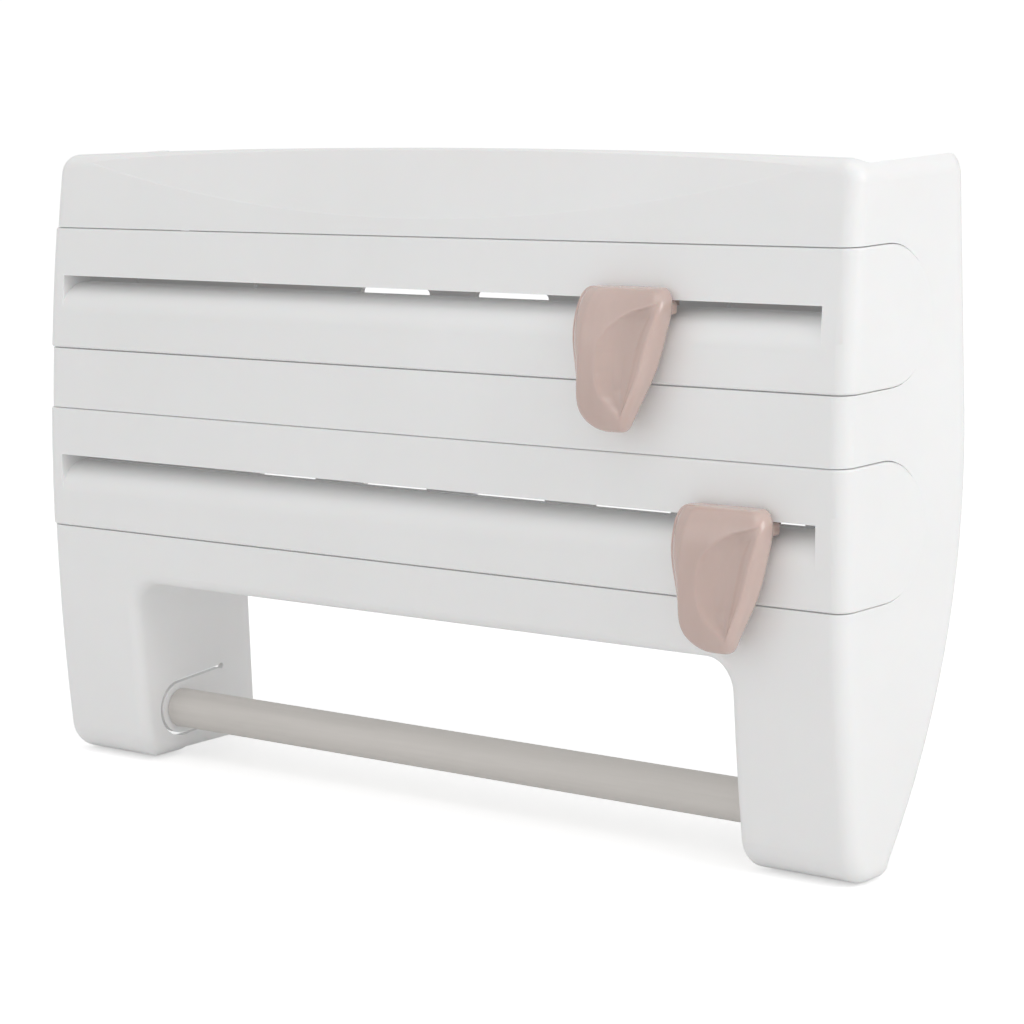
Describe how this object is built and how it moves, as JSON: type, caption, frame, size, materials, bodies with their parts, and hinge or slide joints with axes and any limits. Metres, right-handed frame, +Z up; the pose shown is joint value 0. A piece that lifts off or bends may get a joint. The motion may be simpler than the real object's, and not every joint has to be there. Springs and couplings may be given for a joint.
{
  "type": "wall-mounted cling film dispenser",
  "caption": "Wall-hung roll station with a top tray, pull-out drawers for film and foil with sliding cutters, and a towel rod between two legs.",
  "frame": {"origin": "on the wall plane, midway between the entry circles of the two keyholes it hangs from", "axes": "+X to the right seen from the front, +Y into the wall (the front faces -Y), +Z up"},
  "size_m": [0.392, 0.0943, 0.2443],
  "materials": {
    "white_plastic": "satin moulded white plastic",
    "rose_plastic": "glossy dusty rose plastic",
    "rod_finish": "satin warm grey",
    "steel": "bright steel"
  },
  "bodies": {
    "housing": {"housing_shell": "white_plastic", "back_panel": "white_plastic", "panel_screws": "steel", "rod_plug_left": "white_plastic", "rod_plug_right": "white_plastic"},
    "towel_rod": {"towel_rod": "rod_finish"},
    "upper_drawer": {"upper_drawer_front": "white_plastic", "upper_drawer_trough": "white_plastic", "upper_cutter_rail": "white_plastic"},
    "upper_cutter": {"upper_cutter_lever": "rose_plastic", "upper_cutter_carriage": "rose_plastic", "upper_cutter_blade": "steel", "upper_blade_screw": "steel"},
    "lower_drawer": {"lower_drawer_front": "white_plastic", "lower_drawer_trough": "white_plastic", "lower_cutter_rail": "white_plastic"},
    "lower_cutter": {"lower_cutter_lever": "rose_plastic", "lower_cutter_carriage": "rose_plastic", "lower_cutter_blade": "steel", "lower_blade_screw": "steel"}
  },
  "joints": [
    {"name": "upper_drawer_slide", "type": "slide", "parent": "housing", "child": "upper_drawer", "axis": [0, -1, 0], "range_m": [0, 0.06]},
    {"name": "lower_drawer_slide", "type": "slide", "parent": "housing", "child": "lower_drawer", "axis": [0, -1, 0], "range_m": [0, 0.06]},
    {"name": "upper_cutter_slide", "type": "slide", "parent": "upper_drawer", "child": "upper_cutter", "axis": [1, 0, 0], "range_m": [-0.281, 0.0605]},
    {"name": "lower_cutter_slide", "type": "slide", "parent": "lower_drawer", "child": "lower_cutter", "axis": [1, 0, 0], "range_m": [-0.3255, 0.016]},
    {"name": "rod_spin", "type": "hinge", "parent": "housing", "child": "towel_rod", "pos_m": [0, -0.057, -0.1298], "axis": [1, 0, 0], "continuous": true}
  ]
}
